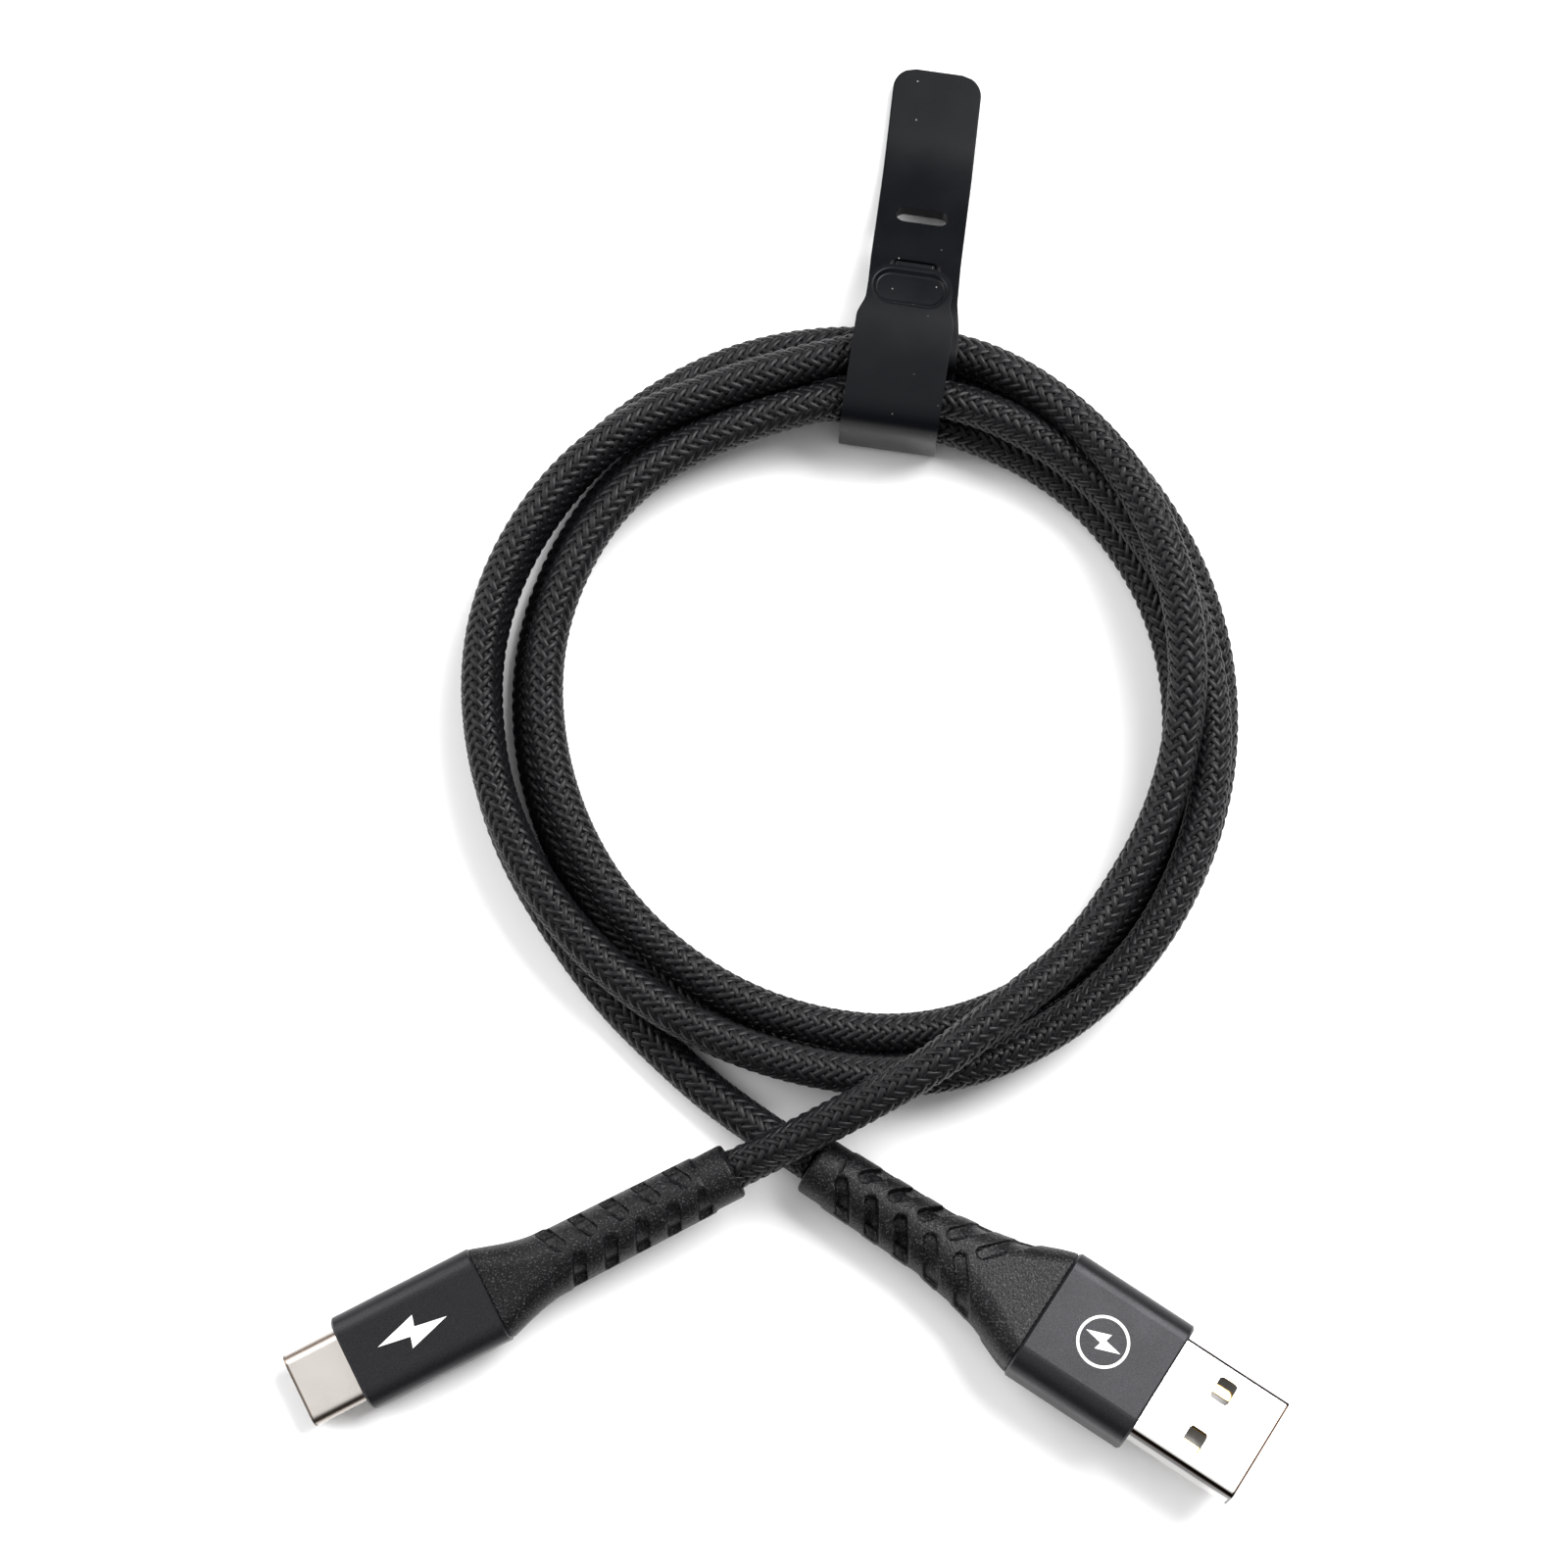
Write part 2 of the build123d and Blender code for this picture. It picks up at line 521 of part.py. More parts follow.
def main():
    c_plane = plug_plane(USB_C_FRONT, USB_C_HEADING, USB_C_PITCH, USB_C_ROLL)
    a_plane = plug_plane(USB_A_FRONT, USB_A_HEADING, USB_A_PITCH, USB_A_ROLL)
    nodes = {}
    nodes.update(place(c_plane, usb_c_plug(), "usb_c_"))
    nodes.update(place(a_plane, usb_a_plug(), "usb_a_"))
    nodes.update(strap_parts())
    exit_c = c_plane.from_local_coords(Vector(-C_HOUSING_LENGTH - C_RELIEF_LENGTH, 0, 0))
    exit_a = a_plane.from_local_coords(Vector(-A_HOUSING_LENGTH - A_RELIEF_LENGTH, 0, 0))
    print("cable leaves the USB-C relief at", exit_c, "and enters the USB-A relief at", exit_a)
    nodes["cable_lead_c"] = cable_tube([tuple(exit_c), *LEAD_C_POINTS], "cable_lead_c")
    nodes["cable_lead_a"] = cable_tube([*LEAD_A_POINTS, tuple(exit_a)], "cable_lead_a")
    nodes["cable_ring"] = ring_of_turns()

    os.makedirs("parts", exist_ok=True)
    for name, shape in nodes.items():
        shape.label = name
        export_step(shape, "parts/" + name + ".step")
    boxes = [shape.bounding_box() for name, shape in nodes.items() if not name.startswith("cable_")]
    low = [min(getattr(box.min, axis) for box in boxes) for axis in "XYZ"]
    high = [max(getattr(box.max, axis) for box in boxes) for axis in "XYZ"]
    print("plugs and strap, lowest", [round(v, 2) for v in low], "highest", [round(v, 2) for v in high])


main()
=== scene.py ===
import json
import math

import bpy
import numpy as np
from mathutils import Matrix, Vector


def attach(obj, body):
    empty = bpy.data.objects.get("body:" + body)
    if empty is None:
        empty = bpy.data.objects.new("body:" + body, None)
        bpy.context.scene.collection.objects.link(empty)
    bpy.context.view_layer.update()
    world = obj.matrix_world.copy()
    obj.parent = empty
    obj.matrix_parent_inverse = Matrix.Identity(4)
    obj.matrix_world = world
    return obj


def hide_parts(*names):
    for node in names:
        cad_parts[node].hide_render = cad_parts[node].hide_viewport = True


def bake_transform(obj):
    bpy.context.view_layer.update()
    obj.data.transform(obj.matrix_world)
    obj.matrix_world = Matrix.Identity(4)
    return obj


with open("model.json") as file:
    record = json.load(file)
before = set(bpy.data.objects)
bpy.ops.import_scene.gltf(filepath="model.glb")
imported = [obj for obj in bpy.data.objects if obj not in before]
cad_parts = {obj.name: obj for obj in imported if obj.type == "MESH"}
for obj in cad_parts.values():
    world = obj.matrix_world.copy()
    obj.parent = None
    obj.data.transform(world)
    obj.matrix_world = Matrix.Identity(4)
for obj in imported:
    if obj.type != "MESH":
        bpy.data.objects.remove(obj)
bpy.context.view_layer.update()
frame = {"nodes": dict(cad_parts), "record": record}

MM = 0.001

# ---- the cable's route, in millimetres ------------------------------------------------------------
CABLE_DIAMETER = 4.4
C_EXIT = (-5.37, -43.67, 6.68)          # where the cable leaves the USB-C relief
LEAD_C_POINTS = (
    (0.6, -40.9, 8.3),
    (8.6, -36.9, 10.5),
    (16.2, -32.7, 11.6),
    (23.6, -27.0, 11.0),
    (33.0, -19.3, 8.4),
    (42.6, -3.0, 7.8),
    (44.2, 16.4, 10.9),
    (36.2, 35.3, 10.0),
)
LEAD_A_POINTS = (
    (-32.2, -4.1, 2.2),
    (-21.4, -22.2, 2.2),
    (-11.2, -32.4, 2.2),
    (-4.2, -38.0, 2.4),
)
A_EXIT = (3.15, -42.79, 3.83)           # where it goes into the USB-A relief

# The turns between the leads: (distance from the ring's middle, height) every 30 degrees, counter-
# clockwise from 75 degrees. Each line is one turn, from just past the strap round to the strap.
RING_CENTRE = (7.3, 6.5)
FIRST_STATION = 75
STATION_STEP = 30
TURNS = (
    ((41.7, 6.7),),
    ((37.3, 7.3), (40.2, 6.7), (40.9, 6.6), (39.4, 6.6), (38.5, 6.6), (38.7, 6.6),
     (41.3, 6.6), (41.1, 6.5), (39.8, 6.5), (38.2, 6.5), (36.6, 6.7), (35.6, 8.1)),
    ((33.4, 5.9), (34.6, 6.2), (33.9, 6.3), (32.8, 6.3), (33.0, 6.1), (34.0, 4.0),
     (36.0, 2.3), (36.6, 2.2), (36.4, 2.2), (36.1, 2.2), (35.4, 2.2), (33.4, 3.8)),
    ((36.0, 3.1), (36.2, 2.2), (35.3, 2.2), (34.6, 2.2), (34.8, 2.2), (38.2, 2.2),
     (40.3, 2.2), (41.0, 2.2), (40.3, 2.2), (40.3, 2.2), (40.8, 2.2), (41.6, 2.2)),
    ((41.3, 3.4), (40.6, 2.2), (40.9, 2.2)),
)

# the woven jacket
CARRIERS = 12                            # in each direction
LAY_LENGTH = 15.6                        # along the cable for one turn of a carrier
YARN_WIDTH = 0.92
YARN_STEP = 0.38
YARN_OUTLINE = ((-1.0, -0.11), (-0.62, 0.03), (0.0, 0.09), (0.62, 0.03), (1.0, -0.11), (0.0, -0.15))
YARN_DEPTH = 0.2                         # from the cable's outside to the middle of the weave
WEAVE_LIFT = 0.085                       # how far a yarn rises over the others, and sinks under them
WEAVE_STEEPNESS = 1.5
WEAVE_REPEAT = 4                         # crossings: over two, then under two
CORE_DEPTH = 0.27                        # from the cable's outside to its inner jacket

# ---- the strap, in a side view: (distance out from the ring's middle, height) -----------------------
STRAP_HEADING = 81.7
STRAP_THICKNESS = 1.3
STRAP_RIM = 0.36                         # rounding of its long edges
SIDE_RESOLUTION = 24
SIDE_STEP = 0.2
LOWER_LAYER = (
    (34.3, 0.67), (36.6, 0.66), (38.2, 0.7), (38.5, 2.2), (38.45, 5.2), (38.4, 8.4), (38.7, 9.7),
    (40.6, 9.6), (43.4, 9.6), (46.0, 8.95), (49.0, 7.6), (52.6, 5.55), (56.6, 3.5), (60.4, 2.0),
    (64.8, 0.9), (69.5, 0.75), (74.5, 0.74),
)
UPPER_LAYER = (
    (34.3, 0.67), (32.3, 0.67), (30.9, 0.8), (30.7, 2.4), (30.7, 5.4), (30.8, 8.6), (31.9, 10.3),
    (35.2, 10.85), (38.2, 11.2), (41.0, 11.25), (43.4, 11.1), (45.8, 10.6), (48.6, 9.75),
)
LOWER_WIDTH = 10.0
LOWER_TIP_CORNER = 2.4
UPPER_WIDTH = 10.7
UPPER_TIP_CORNER = 2.9
SPARE_SLOT = (18.7, 5.9, 2.2)            # back from the tail's tip, length, width
BUTTON_SLOT = (26.9, 5.8, 2.2)
# distance out from the ring's middle, and how far to the side each layer lies there
LOWER_SHIFT = ((34, 38, 41.5, 45.5, 50, 62, 74), (0.9, 1.0, 0.9, 0.2, 0.0, -0.15, -0.5))
UPPER_SHIFT = ((30, 50), (-0.3, -0.15))
FLAP_WIDTH = 9.3
TAPER_START = 6.8                        # back from the flap's end, where it starts to narrow
TAPER_LENGTH = 2.6
DISH_BACK = 2.7                          # from the flap's end to the middle of its sunk top
DISH_HALF = (2.2, 4.15)                  # along and across the strap
DISH_CORNER = 2.1
DISH_DEPTH = 0.42
DISH_WALL = 0.5
FLAT_TOP = 0.3                           # what lies higher in the flat strap is its top
STUD_SIZE = (0.9, 4.4, 2.4)              # along and across the strap, and up
STUD_PLACE = (49.1, 8.2)
STUD_ROUNDING = 0.35

# ---- where each plug lies: its housing's front, heading, pitch and roll in degrees ------------------
USB_C_PLACE = ((-45.8, -64.0, 3.04), 206.7, -4.6, 0.0)
USB_A_PLACE = ((39.4, -66.6, 5.5), -33.3, 2.2, -11.5)
C_HOUSING_TOP = 3.0
A_HOUSING_TOP = 3.8
C_SHELL = (6.4, 4.1, 1.2)                # length out of the housing, half its width, its corners
A_SHELL = (12.5, 6.0, 0.6)
RELIEF_VOXEL = 0.16
C_BOLT = (8.0, 3.2, -7.6)                # length, width, place along the plug
A_BOLT = (4.4, 2.2, -7.4)
A_HOOP = (2.7, 0.16, -7.4)               # radius, half its line's width, place along the plug
BOLT_DEPTH = 0.05
HOOP_FLATNESS = 0.05                     # its height as a share of its line's width

# ---- the studio, in metres --------------------------------------------------------------------------
FLOOR_SIZE = 6.0
FLOOR_DROP = 0.00002                     # how far the floor lies below the cable
KEY_LIGHT = ((0.53, 0.445, 0.805), 0.62, 19.0)       # place, side, power
FILL_LIGHT = ((-0.6, 0.3, 0.5), 0.7, 7.0)
CAMERA_PLACE = (0.0, -0.07192, 0.4241)
CAMERA_TARGET = (0.0, -0.00095, 0.0)
CAMERA_LENS = 89.9                       # millimetres, on a sensor 36 wide
CAMERA_SENSOR = 36.0


# ---- small tools ------------------------------------------------------------------------------------
def only(piece):
    """Selects one object alone and makes it active."""
    bpy.ops.object.select_all(action="DESELECT")
    piece.select_set(True)
    bpy.context.view_layer.objects.active = piece


def apply_modifiers(piece):
    only(piece)
    for modifier in list(piece.modifiers):
        bpy.ops.object.modifier_apply(modifier=modifier.name)


def points_of(piece):
    """The piece's vertices as an array."""
    flat = np.empty(len(piece.data.vertices) * 3)
    piece.data.vertices.foreach_get("co", flat)
    return flat.reshape(-1, 3)


def set_points(piece, points):
    piece.data.vertices.foreach_set("co", np.asarray(points, dtype=float).ravel())
    piece.data.update()


def new_curve(name, points, resolution, bevel=0.0):
    """A smooth NURBS line with these control points, given in millimetres."""
    curve = bpy.data.curves.new(name, "CURVE")
    curve.dimensions = "3D"
    curve.resolution_u = resolution
    spline = curve.splines.new("NURBS")
    spline.points.add(len(points) - 1)
    for slot, point in zip(spline.points, points):
        slot.co = (point[0] * MM, point[1] * MM, point[2] * MM, 1.0)
    spline.order_u = 3
    spline.use_endpoint_u = True
    curve.bevel_depth = bevel * MM
    curve.bevel_resolution = 4
    piece = bpy.data.objects.new(name, curve)
    bpy.context.scene.collection.objects.link(piece)
    return piece


def line_points(points, resolution=48):
    """Points along the smooth line through these control points, in millimetres."""
    guide = new_curve("guide", points, resolution)
    mesh = bpy.data.meshes.new_from_object(guide)
    flat = np.empty(len(mesh.vertices) * 3)
    mesh.vertices.foreach_get("co", flat)
    bpy.data.meshes.remove(mesh)
    bpy.data.objects.remove(guide)
    line = flat.reshape(-1, 3) / MM
    if np.linalg.norm(line[0] - np.array(points[0])) > np.linalg.norm(line[-1] - np.array(points[0])):
        line = line[::-1]
    return line


def evenly(line, step):
    """The same line with its points a fixed distance apart."""
    gaps = np.linalg.norm(np.diff(line, axis=0), axis=1)
    along = np.concatenate(([0.0], np.cumsum(gaps)))
    count = int(round(along[-1] / step)) + 1
    places = np.linspace(0.0, along[-1], count)
    even = np.stack([np.interp(places, along, line[:, axis]) for axis in range(3)], axis=1)
    return places, even


def unit_tangents(line):
    tangents = np.gradient(line, axis=0)
    return tangents / np.linalg.norm(tangents, axis=1, keepdims=True)


def carried_normals(line):
    """Two normals at each point of a line, carried along it without twist."""
    tangents = unit_tangents(line)
    normals = np.empty_like(tangents)
    normal = np.cross(tangents[0], (0.0, 0.0, 1.0))
    for index, tangent in enumerate(tangents):
        normal = normal - tangent * np.dot(normal, tangent)
        normal = normal / np.linalg.norm(normal)
        normals[index] = normal
    return normals, np.cross(tangents, normals)


def eased(share):
    """A share from 0 to 1, changed so that it starts and ends softly."""
    return share * share * (3 - 2 * share)


def mesh_piece(name, points, faces, uv):
    """A mesh object from points in millimetres, faces of four corners and a UV for each point."""
    mesh = bpy.data.meshes.new(name)
    faces = np.asarray(faces, dtype=np.int32)
    mesh.vertices.add(len(points))
    mesh.vertices.foreach_set("co", (np.asarray(points) * MM).ravel())
    mesh.loops.add(faces.size)
    mesh.loops.foreach_set("vertex_index", faces.ravel())
    mesh.polygons.add(len(faces))
    mesh.polygons.foreach_set("loop_start", np.arange(0, faces.size, 4, dtype=np.int32))
    mesh.polygons.foreach_set("loop_total", np.full(len(faces), 4, dtype=np.int32))
    mesh.update(calc_edges=True)
    mesh.validate()
    mesh.polygons.foreach_set("use_smooth", np.ones(len(mesh.polygons), dtype=bool))
    layer = mesh.uv_layers.new(name="UVMap")
    layer.data.foreach_set("uv", np.asarray(uv)[faces.ravel()].ravel())
    piece = bpy.data.objects.new(name, mesh)
    bpy.context.scene.collection.objects.link(piece)
    return piece


def plug_matrix(place):
    """From a plug's own frame, X out of its nose and Z out of its top, to the cable's, in metres."""
    front = Vector(place[0]) * MM
    heading, pitch, roll = (math.radians(angle) for angle in place[1:])
    ahead = Vector((math.cos(heading), math.sin(heading), 0.0))
    axis = ahead * math.cos(pitch) + Vector((0.0, 0.0, math.sin(pitch)))
    up = ahead * -math.sin(pitch) + Vector((0.0, 0.0, math.cos(pitch)))
    side = up.cross(axis)
    top = up * math.cos(roll) - side * math.sin(roll)
    across = top.cross(axis)
    return Matrix.Translation(front) @ Matrix((axis, across, top)).transposed().to_4x4()


# ---- materials --------------------------------------------------------------------------------------
class Finish:
    """A material being put together from nodes."""

    def __init__(self, name, colour, roughness, metallic=0.0, **sockets):
        self.material = bpy.data.materials.new(name)
        self.material.use_nodes = True
        self.tree = self.material.node_tree
        self.shader = self.tree.nodes["Principled BSDF"]
        self.shader.inputs["Base Color"].default_value = (*colour, 1.0)
        self.shader.inputs["Roughness"].default_value = roughness
        self.shader.inputs["Metallic"].default_value = metallic
        for label, value in sockets.items():
            self.shader.inputs[label.replace("_", " ")].default_value = value
        self.coords = self.tree.nodes.new("ShaderNodeTexCoord")
        self.normal = None

    def node(self, kind, **values):
        made = self.tree.nodes.new(kind)
        for label, value in values.items():
            setattr(made, label, value)
        return made

    def link(self, source, target):
        self.tree.links.new(source, target)

    def noise(self, scale, detail=2.0, vector=None):
        made = self.node("ShaderNodeTexNoise")
        made.inputs["Scale"].default_value = scale
        made.inputs["Detail"].default_value = detail
        self.link(vector or self.coords.outputs["Object"], made.inputs["Vector"])
        return made.outputs["Fac"]

    def ramp(self, source, low, high, low_value, high_value):
        made = self.node("ShaderNodeMapRange")
        made.inputs["From Min"].default_value = low
        made.inputs["From Max"].default_value = high
        made.inputs["To Min"].default_value = low_value
        made.inputs["To Max"].default_value = high_value
        self.link(source, made.inputs["Value"])
        return made.outputs["Result"]

    def mix(self, factor, first, second):
        made = self.node("ShaderNodeMix", data_type="RGBA")
        made.inputs["A"].default_value = (*first, 1.0)
        made.inputs["B"].default_value = (*second, 1.0)
        self.link(factor, made.inputs["Factor"])
        return made.outputs["Result"]

    def bump(self, height, strength, distance):
        """Adds a bump whose height runs from 0 to 1 over a distance in millimetres."""
        made = self.node("ShaderNodeBump")
        made.inputs["Strength"].default_value = strength
        made.inputs["Distance"].default_value = distance * MM
        self.link(height, made.inputs["Height"])
        if self.normal:
            self.link(self.normal, made.inputs["Normal"])
        self.normal = made.outputs["Normal"]
        self.link(self.normal, self.shader.inputs["Normal"])

    def place_along(self, place, axis):
        """How far a point lies along one axis of a plug's own frame, in millimetres."""
        matrix = plug_matrix(place)
        direction = matrix.col[axis].to_3d()
        dot = self.node("ShaderNodeVectorMath", operation="DOT_PRODUCT")
        dot.inputs[1].default_value = direction / MM
        self.link(self.coords.outputs["Object"], dot.inputs[0])
        shift = self.node("ShaderNodeMath", operation="SUBTRACT")
        shift.inputs[1].default_value = direction.dot(matrix.translation) / MM
        self.link(dot.outputs["Value"], shift.inputs[0])
        return shift.outputs[0]

    def join(self, operation, first, second):
        made = self.node("ShaderNodeMath", operation=operation)
        self.link(first, made.inputs[0])
        if isinstance(second, float):
            made.inputs[1].default_value = second
        else:
            self.link(second, made.inputs[1])
        return made.outputs[0]

    def painted_edge_shade(self, place, nose, half_width, corner):
        """1 along a shell's nose and its two long top edges, where the folded metal gets painted shade, and
        0 elsewhere.
        """
        tip = self.ramp(self.place_along(place, 0), nose - 0.34, nose - 0.2, 0.0, 1.0)
        across = self.join("ABSOLUTE", self.place_along(place, 1), 0.0)
        side = self.ramp(across, half_width - corner * 0.8, half_width - corner * 0.5, 0.0, 1.0)
        top = self.ramp(self.place_along(place, 2), 0.2, 0.9, 0.0, 1.0)
        return self.join("MAXIMUM", tip, self.join("MULTIPLY", side, top))

    def feed(self, label, source):
        self.link(source, self.shader.inputs[label])


def nylon_yarn():
    """Black multifilament yarn: fine filaments along each yarn, dull with a soft sheen."""
    finish = Finish("nylon_yarn", (0.01, 0.01, 0.011), 0.42, Specular_IOR_Level=0.2)
    stretch = finish.node("ShaderNodeMapping")
    stretch.inputs["Scale"].default_value = (9.0, 0.35, 1.0)
    finish.link(finish.coords.outputs["UV"], stretch.inputs["Vector"])
    filaments = finish.noise(1.0, 1.0, stretch.outputs["Vector"])
    finish.bump(filaments, 0.9, 0.05)
    tone = finish.ramp(filaments, 0.3, 0.7, 0.0, 1.0)
    finish.feed("Base Color", finish.mix(tone, (0.0015, 0.0015, 0.0018), (0.008, 0.008, 0.009)))
    finish.feed("Roughness", finish.ramp(filaments, 0.3, 0.7, 0.44, 0.3))
    return finish.material


def yarn_core():
    """The dark inner jacket seen between the yarns."""
    finish = Finish("yarn_core", (0.001, 0.001, 0.001), 0.9, Specular_IOR_Level=0.1)
    finish.bump(finish.noise(2500.0), 0.3, 0.05)
    return finish.material


def grained_elastomer():
    """Soft black moulding with a fine spark-eroded grain, and painted glints: scattered light specks in its
    colour.
    """
    finish = Finish("grained_elastomer", (0.005, 0.005, 0.006), 0.42, Specular_IOR_Level=0.2)
    grain = finish.noise(3600.0, 3.0)
    finish.bump(grain, 0.8, 0.1)
    # painted glints: scattered specks of the colour are made lighter grey
    painted_glints = finish.ramp(finish.noise(5200.0, 1.0), 0.56, 0.72, 0.0, 1.0)
    finish.feed("Base Color", finish.mix(painted_glints, (0.002, 0.002, 0.0024), (0.045, 0.045, 0.048)))
    finish.feed("Roughness", finish.ramp(grain, 0.3, 0.7, 0.52, 0.34))
    return finish.material


def black_anodised():
    """Bead-blasted aluminium, dyed black."""
    finish = Finish("black_anodised", (0.03, 0.03, 0.033), 0.36, 0.5, Specular_IOR_Level=0.2)
    grain = finish.noise(6500.0, 2.0)
    finish.bump(grain, 0.25, 0.03)
    cloud = finish.noise(260.0, 2.0)
    finish.feed("Roughness", finish.ramp(cloud, 0.3, 0.7, 0.31, 0.37))
    finish.feed("Base Color", finish.mix(grain, (0.006, 0.006, 0.007), (0.03, 0.03, 0.033)))
    return finish.material


def bright_nickel():
    """Nickel plate, with painted shade, dark and warm, along the shell's folded nose and long top edges."""
    finish = Finish("bright_nickel", (0.9, 0.89, 0.87), 0.08, 1.0)
    # painted shade: the shell's nose and long top edges are coloured nearly black
    edge = finish.painted_edge_shade(USB_A_PLACE, *A_SHELL)
    finish.feed("Base Color", finish.mix(edge, (0.9, 0.89, 0.87), (0.014, 0.008, 0.005)))
    cloud = finish.noise(300.0, 3.0)
    finish.feed("Roughness", finish.ramp(cloud, 0.3, 0.7, 0.05, 0.08))
    finish.bump(finish.noise(700.0, 2.0), 0.015, 0.01)
    return finish.material


def satin_steel():
    """Drawn stainless steel, faintly warm, with fine lines along the plug, and painted shade, dull brown,
    on its nose and long top edges.
    """
    finish = Finish("satin_steel", (0.66, 0.62, 0.585), 0.3, 1.0)
    # painted shade: the shell's nose and long top edges are coloured dull brown
    edge = finish.painted_edge_shade(USB_C_PLACE, *C_SHELL)
    finish.feed("Base Color", finish.mix(edge, (0.66, 0.62, 0.585), (0.17, 0.14, 0.12)))
    lines = finish.noise(1800.0, 2.0)
    finish.bump(lines, 0.12, 0.02)
    finish.feed("Roughness", finish.ramp(finish.noise(420.0), 0.3, 0.7, 0.26, 0.31))
    return finish.material


def gold_plate():
    finish = Finish("gold_plate", (0.95, 0.66, 0.26), 0.16, 1.0)
    finish.feed("Roughness", finish.ramp(finish.noise(900.0), 0.3, 0.7, 0.12, 0.24))
    return finish.material


def moulded_plastic(name, colour):
    finish = Finish(name, colour, 0.4)
    finish.bump(finish.noise(2600.0), 0.15, 0.02)
    finish.feed("Roughness", finish.ramp(finish.noise(500.0), 0.3, 0.7, 0.34, 0.46))
    return finish.material


def silicone():
    """Satin black silicone rubber with a few specks of dust that it has picked up."""
    finish = Finish("silicone", (0.0025, 0.003, 0.004), 0.32, Specular_IOR_Level=0.12)
    finish.bump(finish.noise(1500.0, 3.0), 0.12, 0.04)
    dust = finish.node("ShaderNodeTexVoronoi", feature="F1")
    dust.inputs["Scale"].default_value = 900.0
    finish.link(finish.coords.outputs["Object"], dust.inputs["Vector"])
    near = finish.ramp(dust.outputs["Distance"], 0.05, 0.09, 1.0, 0.0)
    few = finish.ramp(finish.noise(700.0, 0.0), 0.61, 0.64, 0.0, 1.0)
    specks = finish.join("MULTIPLY", near, few)
    finish.feed("Base Color", finish.mix(specks, (0.0025, 0.003, 0.004), (0.3, 0.3, 0.3)))
    finish.feed("Roughness", finish.ramp(finish.noise(240.0, 3.0), 0.3, 0.7, 0.28, 0.36))
    return finish.material


def white_print():
    finish = Finish("white_print", (0.82, 0.82, 0.8), 0.55)
    finish.feed("Roughness", finish.ramp(finish.noise(1500.0), 0.3, 0.7, 0.45, 0.62))
    return finish.material


def pale_floor():
    finish = Finish("pale_floor", (0.93, 0.93, 0.93), 0.9)
    finish.feed("Roughness", finish.ramp(finish.noise(40.0), 0.3, 0.7, 0.85, 0.95))
    return finish.material


def paint(piece, material):
    piece.data.materials.clear()
    piece.data.materials.append(material)


# ---- the cable --------------------------------------------------------------------------------------
def route():
    """The control points of the cable from the USB-C relief to the USB-A relief."""
    points = [C_EXIT, *LEAD_C_POINTS]
    angle = FIRST_STATION
    stretch = 1 / math.cos(math.radians(STATION_STEP / 2))
    for turn in TURNS:
        for radius, height in turn:
            reach = radius * stretch
            x = RING_CENTRE[0] + reach * math.cos(math.radians(angle))
            y = RING_CENTRE[1] + reach * math.sin(math.radians(angle))
            points.append((x, y, height))
            angle += STATION_STEP
    return [*points, *LEAD_A_POINTS, A_EXIT]


def yarn(line, places, normals, sides, index, direction):
    """One flat yarn of the braid: its points, four-cornered faces and UVs."""
    turn = 2 * math.pi * (index / CARRIERS + direction * places / LAY_LENGTH)
    crossing = 2 * index + direction * 2 * CARRIERS * places / LAY_LENGTH
    wave = direction * np.cos(2 * math.pi * (crossing - 0.5) / WEAVE_REPEAT)
    lift = np.clip(WEAVE_STEEPNESS * wave, -1, 1)
    slant = math.atan(2 * math.pi * CABLE_DIAMETER / 2 / LAY_LENGTH)
    half_angle = YARN_WIDTH / 2 / math.cos(slant) / (CABLE_DIAMETER / 2)
    rings, uv = [], []
    for across, rise in YARN_OUTLINE:
        angle = turn + across * half_angle
        radius = CABLE_DIAMETER / 2 - YARN_DEPTH + rise + WEAVE_LIFT * lift
        ring = normals * np.cos(angle)[:, None] + sides * np.sin(angle)[:, None]
        rings.append(line + ring * radius[:, None])
        uv.append(np.stack([np.full(len(places), across / 2 + 0.5), places], axis=1))
    count, size = len(places), len(YARN_OUTLINE)
    points = np.stack(rings, axis=1).reshape(-1, 3)
    uv = np.stack(uv, axis=1).reshape(-1, 2)
    start = np.arange(count - 1)[:, None] * size
    here = start + np.arange(size)[None, :]
    beside = start + (np.arange(size)[None, :] + 1) % size
    faces = np.stack([here, beside, beside + size, here + size], axis=2).reshape(-1, 4)
    half = size // 2
    ends = []
    for base, flip in ((0, False), ((count - 1) * size, True)):
        for step in range(half - 1):
            corner = [base + step, base + step + 1, base + size - 2 - step, base + size - 1 - step]
            ends.append(corner if flip else corner[::-1])
    return points, np.concatenate([faces, np.array(ends)]), uv


def make_cable(yarn_finish, core_finish):
    """The inner jacket as one smooth line, with the yarns woven round it."""
    points = route()
    core = new_curve("cable_core", points, 16, CABLE_DIAMETER / 2 - CORE_DEPTH)
    core.data.use_fill_caps = True
    paint(core, core_finish)
    places, line = evenly(line_points(points), YARN_STEP)
    normals, sides = carried_normals(line)
    for pair in range(CARRIERS):
        right, left = (yarn(line, places, normals, sides, pair, direction) for direction in (1, -1))
        joined = np.concatenate([right[0], left[0]])
        faces = np.concatenate([right[1], left[1] + len(right[0])])
        uv = np.concatenate([right[2], left[2]])
        piece = mesh_piece(f"braid_yarns_{pair + 1:02d}", joined, faces, uv)
        paint(piece, yarn_finish)
        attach(piece, "root")
    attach(core, "root")
    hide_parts("cable_ring", "cable_lead_c", "cable_lead_a")


# ---- the strap --------------------------------------------------------------------------------------
def strap_axes():
    """Unit vectors along the strap and across it, both level."""
    heading = math.radians(STRAP_HEADING)
    along = np.array([math.cos(heading), math.sin(heading), 0.0])
    across = np.array([math.sin(heading), -math.cos(heading), 0.0])
    return along, across


